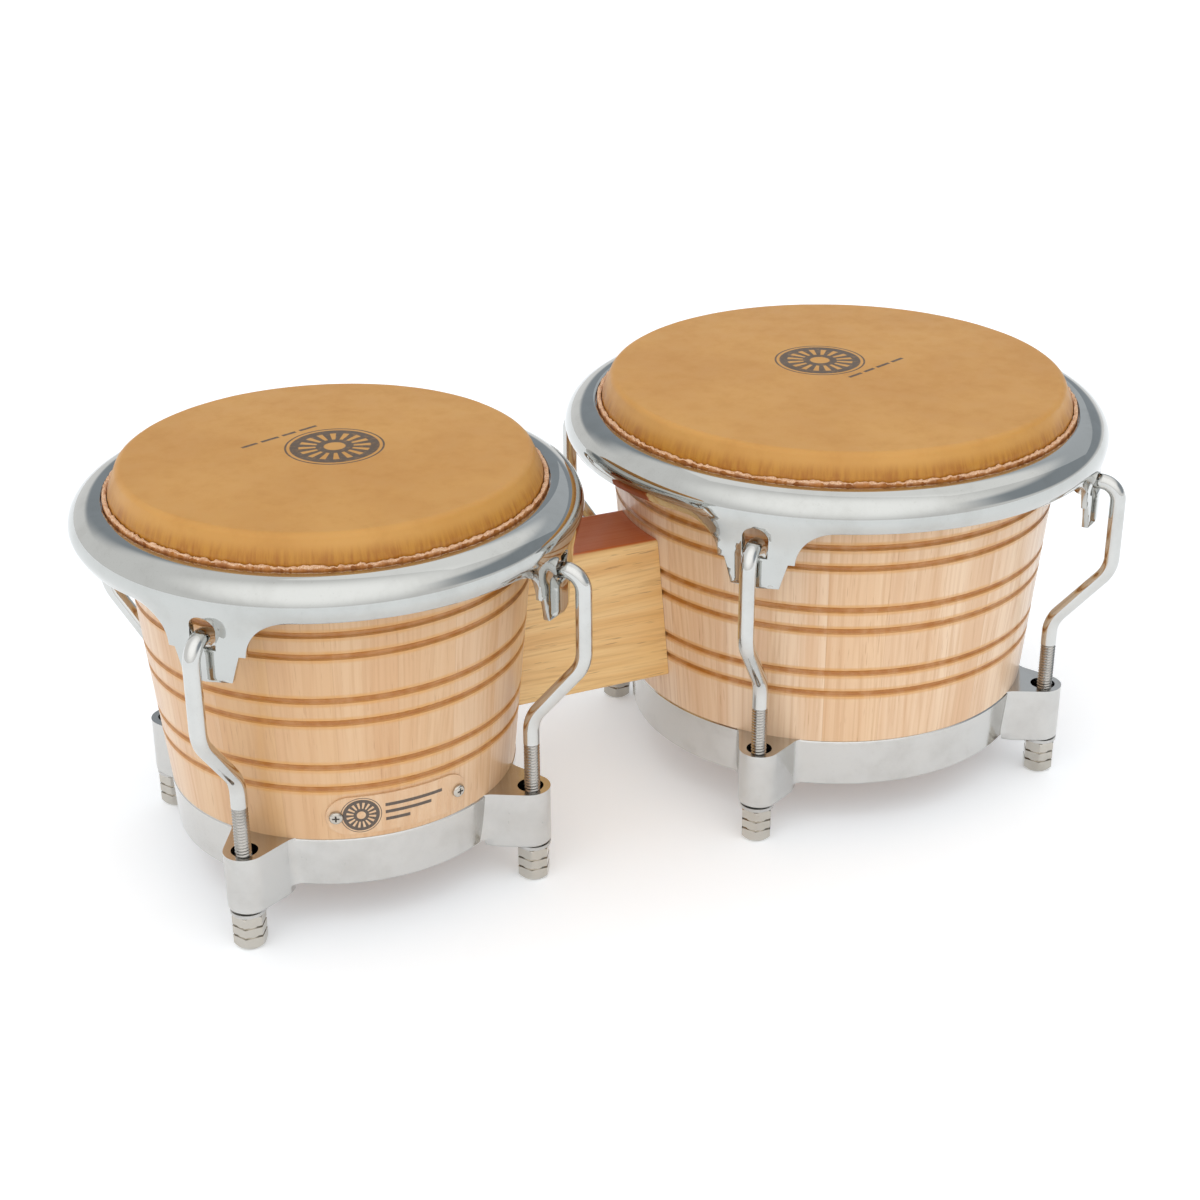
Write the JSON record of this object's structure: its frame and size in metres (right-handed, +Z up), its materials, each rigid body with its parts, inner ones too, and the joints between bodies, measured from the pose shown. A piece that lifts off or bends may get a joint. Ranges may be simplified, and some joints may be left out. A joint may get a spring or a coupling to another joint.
{
  "type": "bongo drums",
  "caption": "Pair of tapered wooden hand drums joined by a centre block, with rawhide heads, rounded rims, hooked tuning rods and nuts that serve as feet.",
  "frame": {"origin": "on the floor under the middle of the whole object", "axes": "+X from the small drum to the large drum, +Y away from the badge, +Z up"},
  "size_m": [0.4844, 0.2538, 0.19],
  "materials": {
    "shell_wood": "pale natural hardwood staves under clear satin lacquer, with darker turned grooves",
    "block_wood": "straight-grained hardwood under clear satin lacquer",
    "rim_chrome": "polished chrome plate on pressed steel",
    "ring_chrome": "chrome plate on a casting, a little softer than the rims",
    "hook_chrome": "polished chrome plate on bent steel rod",
    "nut_chrome": "chrome plate on turned hexagon nuts",
    "washer_steel": "plain zinc-plated steel",
    "hoop_steel": "plain round-edged steel ring, mostly hidden in the rawhide",
    "bolt_zinc": "zinc-plated steel",
    "screw_nickel": "nickel-plated steel",
    "rawhide": "translucent tan rawhide, satin, darker over the shoulder",
    "badge": "thin wood-toned plate with a plain dark ring and short plain bars in place of any mark"
  },
  "bodies": {
    "drums": {"small_shell": "shell_wood", "small_bottom_ring": "ring_chrome", "small_skin": "rawhide", "small_lug_washer_1": "washer_steel", "small_lug_washer_2": "washer_steel", "small_lug_washer_3": "washer_steel", "small_lug_washer_4": "washer_steel", "small_block_bolt_lower": "bolt_zinc", "small_block_bolt_upper": "bolt_zinc", "small_bolt_washer_lower": "bolt_zinc", "small_bolt_washer_upper": "bolt_zinc", "large_shell": "shell_wood", "large_bottom_ring": "ring_chrome", "large_skin": "rawhide", "large_lug_washer_1": "washer_steel", "large_lug_washer_2": "washer_steel", "large_lug_washer_3": "washer_steel", "large_lug_washer_4": "washer_steel", "large_block_bolt_lower": "bolt_zinc", "large_block_bolt_upper": "bolt_zinc", "large_bolt_washer_lower": "bolt_zinc", "large_bolt_washer_upper": "bolt_zinc", "centre_block": "block_wood", "badge_plate": "badge", "badge_screw_left": "screw_nickel", "badge_screw_right": "screw_nickel"},
    "small_rim_set": {"small_rim": "rim_chrome", "small_flesh_hoop": "hoop_steel", "small_tuning_hook_1": "hook_chrome", "small_tuning_hook_2": "hook_chrome", "small_tuning_hook_3": "hook_chrome", "small_tuning_hook_4": "hook_chrome"},
    "small_nut_1": {"small_tuning_nut_1": "nut_chrome"},
    "small_nut_2": {"small_tuning_nut_2": "nut_chrome"},
    "small_nut_3": {"small_tuning_nut_3": "nut_chrome"},
    "small_nut_4": {"small_tuning_nut_4": "nut_chrome"},
    "large_rim_set": {"large_rim": "rim_chrome", "large_flesh_hoop": "hoop_steel", "large_tuning_hook_1": "hook_chrome", "large_tuning_hook_2": "hook_chrome", "large_tuning_hook_3": "hook_chrome", "large_tuning_hook_4": "hook_chrome"},
    "large_nut_1": {"large_tuning_nut_1": "nut_chrome"},
    "large_nut_2": {"large_tuning_nut_2": "nut_chrome"},
    "large_nut_3": {"large_tuning_nut_3": "nut_chrome"},
    "large_nut_4": {"large_tuning_nut_4": "nut_chrome"}
  },
  "joints": [
    {"name": "small_nut_1_turn", "type": "hinge", "parent": "drums", "child": "small_nut_1", "pos_m": [-0.06765, 0.06505, 0.008], "axis": [0, 0, 1], "range_deg": [-1440, 720]},
    {"name": "small_nut_2_turn", "type": "hinge", "parent": "drums", "child": "small_nut_2", "pos_m": [-0.19775, 0.06505, 0.008], "axis": [0, 0, 1], "range_deg": [-1440, 720]},
    {"name": "small_nut_3_turn", "type": "hinge", "parent": "drums", "child": "small_nut_3", "pos_m": [-0.19775, -0.06505, 0.008], "axis": [0, 0, 1], "range_deg": [-1440, 720]},
    {"name": "small_nut_4_turn", "type": "hinge", "parent": "drums", "child": "small_nut_4", "pos_m": [-0.06765, -0.06505, 0.008], "axis": [0, 0, 1], "range_deg": [-1440, 720]},
    {"name": "small_rim_slide", "type": "slide", "parent": "drums", "child": "small_rim_set", "axis": [0, 0, 1], "range_m": [-0.00282, 0.00564]},
    {"name": "large_nut_1_turn", "type": "hinge", "parent": "drums", "child": "large_nut_1", "pos_m": [0.19266, 0.07736, 0.008], "axis": [0, 0, 1], "range_deg": [-1440, 720]},
    {"name": "large_nut_2_turn", "type": "hinge", "parent": "drums", "child": "large_nut_2", "pos_m": [0.03794, 0.07736, 0.008], "axis": [0, 0, 1], "range_deg": [-1440, 720]},
    {"name": "large_nut_3_turn", "type": "hinge", "parent": "drums", "child": "large_nut_3", "pos_m": [0.03794, -0.07736, 0.008], "axis": [0, 0, 1], "range_deg": [-1440, 720]},
    {"name": "large_nut_4_turn", "type": "hinge", "parent": "drums", "child": "large_nut_4", "pos_m": [0.19266, -0.07736, 0.008], "axis": [0, 0, 1], "range_deg": [-1440, 720]},
    {"name": "large_rim_slide", "type": "slide", "parent": "drums", "child": "large_rim_set", "axis": [0, 0, 1], "range_m": [-0.00282, 0.00564]}
  ],
  "couplings": [
    {"joint": "small_nut_1_turn", "follows": "small_rim_slide", "rad_per_m": -4452.7},
    {"joint": "small_nut_2_turn", "follows": "small_rim_slide", "rad_per_m": -4452.7},
    {"joint": "small_nut_3_turn", "follows": "small_rim_slide", "rad_per_m": -4452.7},
    {"joint": "small_nut_4_turn", "follows": "small_rim_slide", "rad_per_m": -4452.7},
    {"joint": "large_nut_1_turn", "follows": "large_rim_slide", "rad_per_m": -4452.7},
    {"joint": "large_nut_2_turn", "follows": "large_rim_slide", "rad_per_m": -4452.7},
    {"joint": "large_nut_3_turn", "follows": "large_rim_slide", "rad_per_m": -4452.7},
    {"joint": "large_nut_4_turn", "follows": "large_rim_slide", "rad_per_m": -4452.7}
  ]
}
